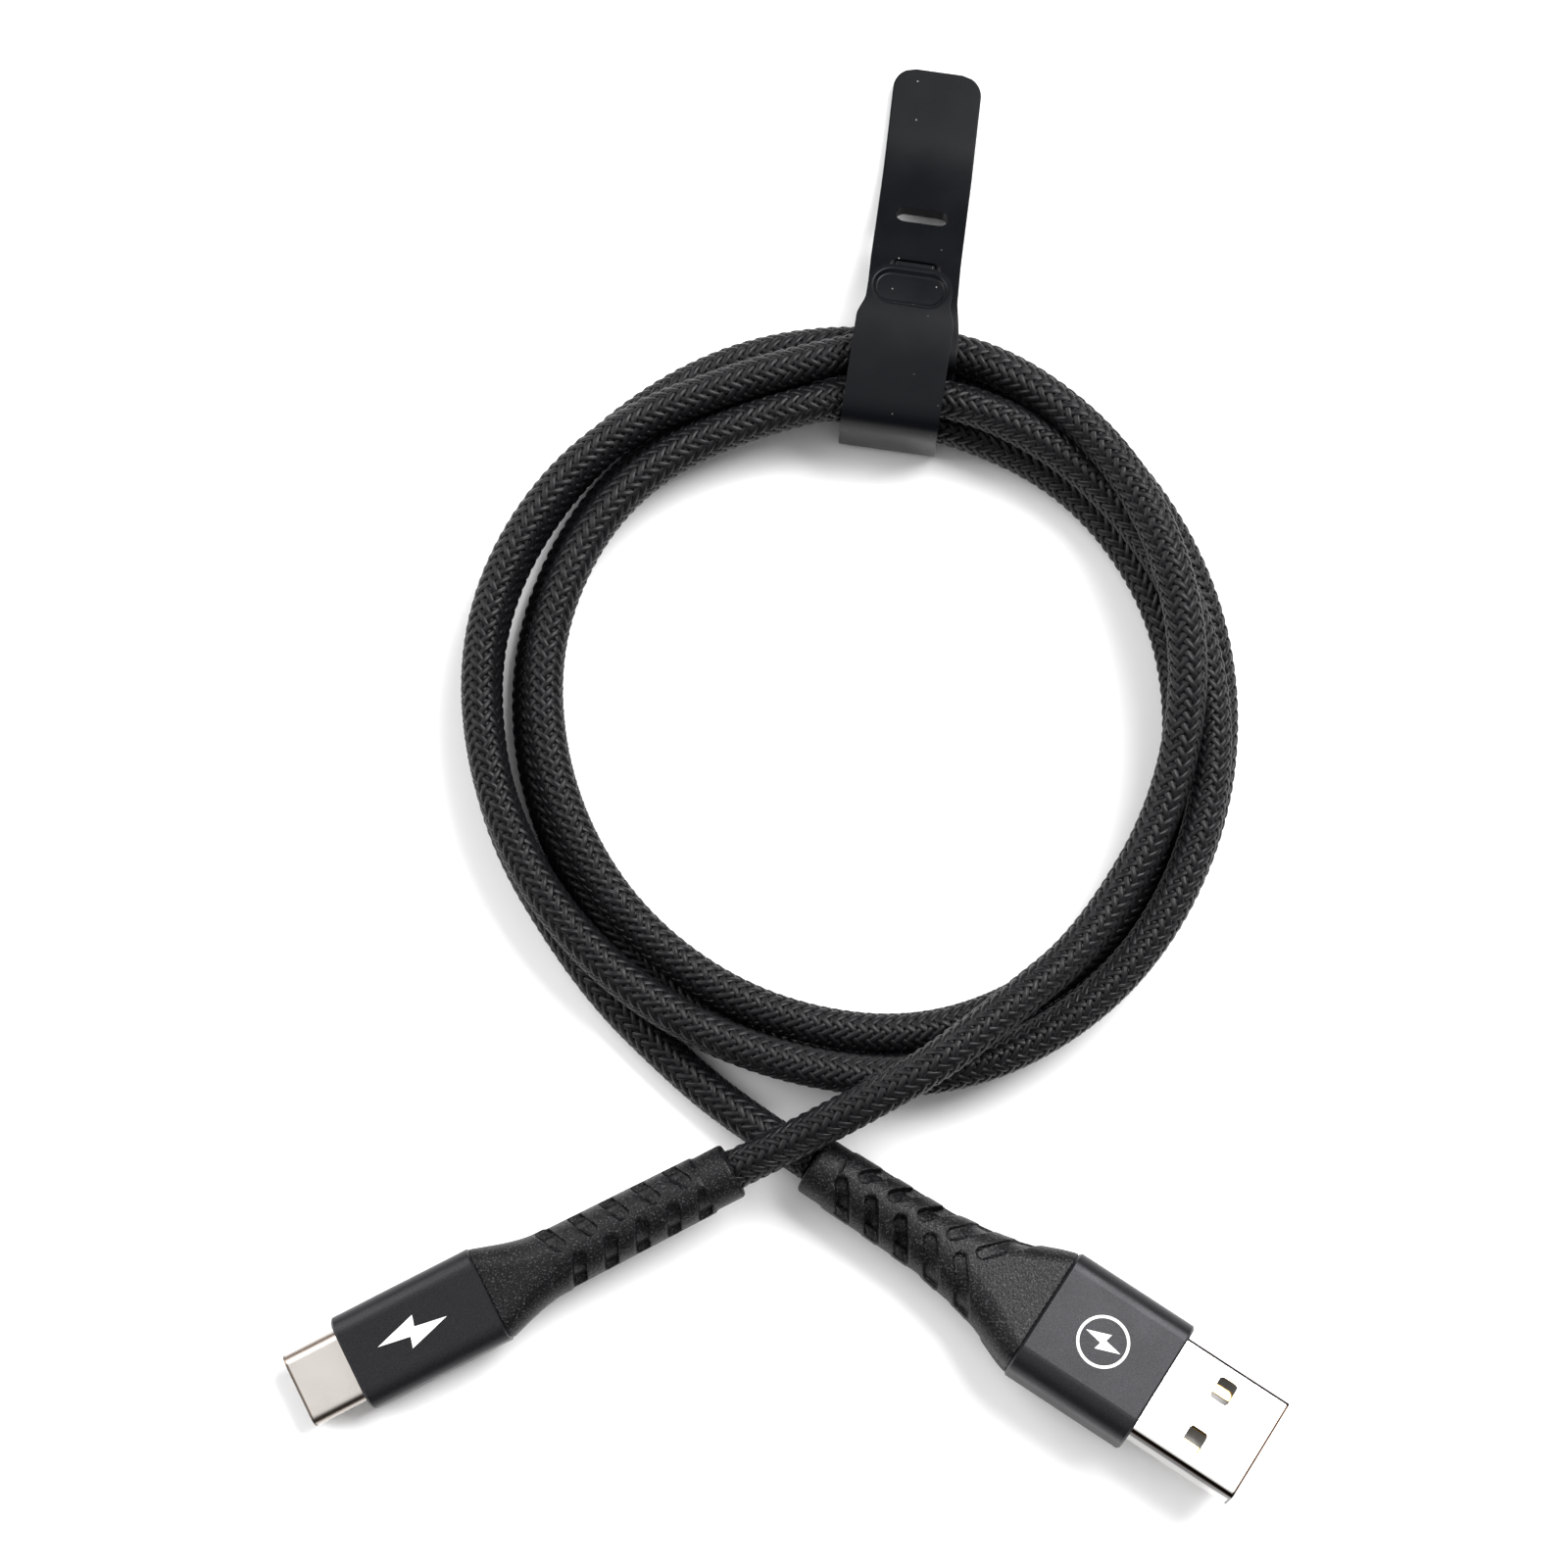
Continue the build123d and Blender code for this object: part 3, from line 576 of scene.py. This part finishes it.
def slot_cutter(middle, length, width, thickness=6.0):
    """A round-ended bar that cuts a slot across a flat strap."""
    bpy.ops.object.select_all(action="DESELECT")
    bpy.ops.mesh.primitive_cube_add(size=1.0, location=(middle, 0.0, 0.0))
    cutter = bpy.context.object
    cutter.scale = (width, length, thickness)
    bpy.ops.object.transform_apply(location=True, rotation=True, scale=True)
    bevel = cutter.modifiers.new("round", "BEVEL")
    bevel.width = width / 2 * 0.98
    bevel.segments = 8
    bevel.limit_method = "WEIGHT"
    weights = cutter.data.attributes.new("bevel_weight_edge", "FLOAT", "EDGE")
    for edge, weight in zip(cutter.data.edges, weights.data):
        first, last = (cutter.data.vertices[corner].co for corner in edge.vertices)
        weight.value = 1.0 if abs(first.z - last.z) > thickness / 2 else 0.0
    apply_modifiers(cutter)
    return cutter


def flat_band(name, length, width, tip_corner, slots, step, columns):
    """A flat strap from x = 0 to its length, with rounded edges, a rounded tip and slots."""
    bpy.ops.object.select_all(action="DESELECT")
    rows = int(length / step)
    bpy.ops.mesh.primitive_grid_add(x_subdivisions=rows, y_subdivisions=columns, size=1.0)
    band = bpy.context.object
    band.name = band.data.name = name
    points = points_of(band)
    points[:, 0] = (points[:, 0] + 0.5) * length
    half = np.full(len(points), width / 2)
    near = np.clip(points[:, 0] - (length - tip_corner), 0, tip_corner)
    half -= tip_corner - np.sqrt(np.maximum(tip_corner ** 2 - near ** 2, 0.0))
    points[:, 1] *= 2 * half
    set_points(band, points)
    thick = band.modifiers.new("thick", "SOLIDIFY")
    thick.thickness = STRAP_THICKNESS
    thick.offset = 0.0
    rim = band.modifiers.new("rim", "BEVEL")
    rim.width = STRAP_RIM
    rim.segments = 5
    rim.limit_method = "ANGLE"
    rim.angle_limit = math.radians(50)
    apply_modifiers(band)
    for slot in slots:
        cutter = slot_cutter(*slot)
        cut = band.modifiers.new("slot", "BOOLEAN")
        cut.operation = "DIFFERENCE"
        cut.solver = "EXACT"
        cut.object = cutter
        apply_modifiers(band)
        bpy.data.objects.remove(cutter)
    return band


def side_line(side_points):
    """The smooth line of a layer's side view, with how far along it each of its points lies."""
    return evenly(line_points([(u, z, 0.0) for u, z in side_points], SIDE_RESOLUTION), SIDE_STEP)


def lay_band(band, side_points, shift):
    """Bends a flat strap along its side view. shift gives how far it lies to the side of the middle."""
    along, across = strap_axes()
    places, line = side_line(side_points)
    tangents = unit_tangents(line)
    flat = points_of(band)
    spots = np.clip(flat[:, 0], 0.0, places[-1])
    over = flat[:, 0] - spots
    u, z = (np.interp(spots, places, line[:, axis]) for axis in (0, 1))
    du, dz = (np.interp(spots, places, tangents[:, axis]) for axis in (0, 1))
    u = u + over * du - flat[:, 2] * dz
    z = z + over * dz + flat[:, 2] * du
    side = flat[:, 1] + np.interp(u, *shift)
    origin = np.array([RING_CENTRE[0], RING_CENTRE[1], 0.0])
    laid = origin + u[:, None] * along + side[:, None] * across
    laid[:, 2] = z
    set_points(band, laid * MM)
    only(band)
    bpy.ops.object.shade_smooth_by_angle(angle=math.radians(40))


def shape_button(upper, upper_length):
    """Narrows the flat upper layer to its button and sinks a dish for the thumb into the top."""
    points = points_of(upper)
    from_end = upper_length - points[:, 0]
    narrow = np.clip((TAPER_START - from_end) / TAPER_LENGTH, 0, 1)
    points[:, 1] *= 1 - (1 - FLAP_WIDTH / UPPER_WIDTH) * eased(narrow)
    reach = np.maximum(np.abs(from_end - DISH_BACK) - (DISH_HALF[0] - DISH_CORNER), 0.0)
    spread = np.maximum(np.abs(points[:, 1]) - (DISH_HALF[1] - DISH_CORNER), 0.0)
    inside = np.clip((DISH_CORNER - np.hypot(reach, spread)) / DISH_WALL, 0, 1)
    points[:, 2] -= np.where(points[:, 2] > FLAT_TOP, DISH_DEPTH * eased(inside), 0.0)
    set_points(upper, points)


def make_strap(finish):
    """The strap's two layers: one down and out to the free tail, one over the turns to the button."""
    lower_length = side_line(LOWER_LAYER)[0][-1]
    slots = [(lower_length - back, length, width) for back, length, width in (SPARE_SLOT, BUTTON_SLOT)]
    lower = flat_band("strap_lower_layer", lower_length, LOWER_WIDTH, LOWER_TIP_CORNER, slots, 0.3, 40)
    lay_band(lower, LOWER_LAYER, LOWER_SHIFT)
    upper_length = side_line(UPPER_LAYER)[0][-1]
    upper = flat_band("strap_upper_layer", upper_length, UPPER_WIDTH, UPPER_TIP_CORNER, (), 0.14, 80)
    shape_button(upper, upper_length)
    lay_band(upper, UPPER_LAYER, UPPER_SHIFT)
    for piece in (lower, upper):
        paint(piece, finish)
    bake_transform(lower)
    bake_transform(upper)
    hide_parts("strap_band", "strap_tail")
    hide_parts("strap_button_flap")


def make_stud(finish):
    """The stem under the button, through the strap's slot."""
    along, across = strap_axes()
    bpy.ops.object.select_all(action="DESELECT")
    bpy.ops.mesh.primitive_cube_add(size=1.0)
    stud = bpy.context.object
    stud.name = stud.data.name = "strap_button_stud"
    stud.scale = STUD_SIZE
    bpy.ops.object.transform_apply(location=True, rotation=True, scale=True)
    bevel = stud.modifiers.new("round", "BEVEL")
    bevel.width = STUD_ROUNDING
    bevel.segments = 4
    apply_modifiers(stud)
    flat = points_of(stud)
    middle = np.array([*RING_CENTRE, STUD_PLACE[1]]) + along * STUD_PLACE[0]
    laid = middle + flat[:, :1] * along + flat[:, 1:2] * across + flat[:, 2:] * np.array([[0, 0, 1.0]])
    set_points(stud, laid * MM)
    paint(stud, finish)
    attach(stud, "strap_flap_body")


# ---- the plugs --------------------------------------------------------------------------------------
def soft_relief(node, finish):
    """The relief's moulded shape with all of its edges softened, in place of the sharp solid."""
    source = frame["nodes"][node]
    piece = source.copy()
    piece.data = source.data.copy()
    piece.name = piece.data.name = node + "_soft"
    piece.parent = None
    bpy.context.scene.collection.objects.link(piece)
    only(piece)
    bpy.ops.object.mode_set(mode="EDIT")
    bpy.ops.mesh.select_all(action="SELECT")
    bpy.ops.mesh.remove_doubles(threshold=0.00001)
    bpy.ops.object.mode_set(mode="OBJECT")
    voxels = piece.modifiers.new("voxels", "REMESH")
    voxels.mode = "VOXEL"
    voxels.voxel_size = RELIEF_VOXEL * MM
    voxels.use_smooth_shade = True
    smooth = piece.modifiers.new("soften", "SMOOTH")
    smooth.factor = 0.5
    smooth.iterations = 3
    apply_modifiers(piece)
    paint(piece, finish)
    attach(piece, "root")
    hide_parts(node)


def bolt(length, width, place):
    """A flat lightning bolt that lies along X, made from a six-sided prism."""
    corners = ((-0.5, 0.06), (0.09, 0.5), (0.05, 0.12), (0.5, -0.06), (-0.09, -0.5), (-0.05, -0.12))
    bpy.ops.object.select_all(action="DESELECT")
    bpy.ops.mesh.primitive_cylinder_add(vertices=6, radius=1.0, depth=BOLT_DEPTH)
    shape = bpy.context.object
    for vertex in shape.data.vertices:
        turn = math.atan2(vertex.co.x, vertex.co.y)
        along, across = corners[round(turn / math.radians(60)) % 6]
        vertex.co.x, vertex.co.y = place + along * length, across * width
    return shape


def hoop(radius, half_line, place):
    """A flat ring that goes round a bolt."""
    bpy.ops.object.select_all(action="DESELECT")
    bpy.ops.mesh.primitive_torus_add(major_radius=radius, minor_radius=half_line, major_segments=64,
                                     minor_segments=12, location=(place, 0.0, 0.0))
    shape = bpy.context.object
    shape.scale.z = HOOP_FLATNESS
    return shape


def make_marks(finish):
    """A plain printed bolt on the top of each housing, with a hoop round it on the larger one."""
    signs = {
        "usb_c_printed_bolt": (USB_C_PLACE, C_HOUSING_TOP, [bolt(*C_BOLT)]),
        "usb_a_printed_bolt": (USB_A_PLACE, A_HOUSING_TOP, [bolt(*A_BOLT), hoop(*A_HOOP)]),
    }
    for name, (place, height, shapes) in signs.items():
        bpy.ops.object.select_all(action="DESELECT")
        for shape in shapes:
            shape.select_set(True)
        bpy.context.view_layer.objects.active = shapes[0]
        bpy.ops.object.transform_apply(location=True, rotation=True, scale=True)
        bpy.ops.object.join()
        sign = bpy.context.object
        sign.name = sign.data.name = name
        matrix = plug_matrix(place)
        for vertex in sign.data.vertices:
            vertex.co = matrix @ (Vector((vertex.co.x, vertex.co.y, vertex.co.z + height)) * MM)
        sign.data.update()
        paint(sign, finish)
        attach(sign, "root")


def dress_nodes():
    """The finish of each piece whose solid is already its real shape."""
    nickel, steel, gold = bright_nickel(), satin_steel(), gold_plate()
    anodised, relief = black_anodised(), grained_elastomer()
    black = moulded_plastic("black_plastic", (0.02, 0.02, 0.022))
    finishes = {
        "plated_shell": nickel,
        "steel_shell": steel,
        "spring_steel": steel,
        "gold_contact": gold,
        "black_anodised": anodised,
        "insulator_plastic": black,
        "inner_plastic": moulded_plastic("inner_plastic", (0.75, 0.74, 0.7)),
        "soft_black": relief,
        "strap_silicone": relief,
        "braid": black,
        "board_green": moulded_plastic("board_green", (0.03, 0.2, 0.08)),
        "resistor_black": black,
    }
    for colour, value in (("red", (0.55, 0.03, 0.02)), ("white", (0.8, 0.8, 0.78)),
                          ("green", (0.03, 0.3, 0.07)), ("black", (0.02, 0.02, 0.02))):
        finishes["wire_" + colour] = moulded_plastic("wire_" + colour, value)
    for entry in frame["record"]["subparts"]:
        paint(frame["nodes"][entry["node"]], finishes[entry["material_slot"]])
    paint(frame["nodes"]["usb_a_insulator"], moulded_plastic("grey_plastic", (0.3, 0.29, 0.28)))
    return relief


# ---- the studio -------------------------------------------------------------------------------------
def facing(place, target):
    """The turn that points a lamp or a camera from its place to a target."""
    return (Vector(target) - Vector(place)).to_track_quat("-Z", "Y").to_euler()


def square_light(name, place, side, power):
    """A square lamp that faces the cable's middle."""
    light = bpy.data.lights.new(name, "AREA")
    light.shape = "RECTANGLE"
    light.size = light.size_y = side
    light.energy = power
    lamp = bpy.data.objects.new(name, light)
    lamp.location = place
    lamp.rotation_euler = facing(place, (0.0, 0.0, 0.0))
    bpy.context.scene.collection.objects.link(lamp)


def make_studio():
    bpy.ops.object.select_all(action="DESELECT")
    bpy.ops.mesh.primitive_plane_add(size=FLOOR_SIZE, location=(0.0, 0.0, -FLOOR_DROP))
    floor = bpy.context.object
    floor.name = "floor"
    paint(floor, pale_floor())

    world = bpy.data.worlds.new("studio")
    world.use_nodes = True
    tree = world.node_tree
    tree.nodes["Background"].inputs["Color"].default_value = (1.0, 1.0, 1.0, 1.0)
    coords = tree.nodes.new("ShaderNodeTexCoord")
    split = tree.nodes.new("ShaderNodeSeparateXYZ")
    rise = tree.nodes.new("ShaderNodeMapRange")
    rise.inputs["From Min"].default_value = 0.6
    rise.inputs["From Max"].default_value = 0.97
    rise.inputs["To Min"].default_value = 0.1
    rise.inputs["To Max"].default_value = 1.0
    tree.links.new(coords.outputs["Generated"], split.inputs[0])
    tree.links.new(split.outputs["Z"], rise.inputs["Value"])
    tree.links.new(rise.outputs["Result"], tree.nodes["Background"].inputs["Strength"])
    bpy.context.scene.world = world
    square_light("key", *KEY_LIGHT)
    square_light("fill", *FILL_LIGHT)

    lens = bpy.data.cameras.new("camera")
    lens.sensor_width = CAMERA_SENSOR
    lens.lens = CAMERA_LENS
    lens.clip_start, lens.clip_end = 0.01, 10.0
    camera = bpy.data.objects.new("camera", lens)
    camera.location = CAMERA_PLACE
    camera.rotation_euler = facing(CAMERA_PLACE, CAMERA_TARGET)
    bpy.context.scene.collection.objects.link(camera)
    bpy.context.scene.camera = camera
    bpy.context.scene.view_settings.view_transform = "Standard"


relief_finish = dress_nodes()
make_cable(nylon_yarn(), yarn_core())
strap_finish = silicone()
make_strap(strap_finish)
make_stud(strap_finish)
for relief_node in ("usb_a_strain_relief", "usb_c_strain_relief"):
    soft_relief(relief_node, relief_finish)
make_marks(white_print())
make_studio()
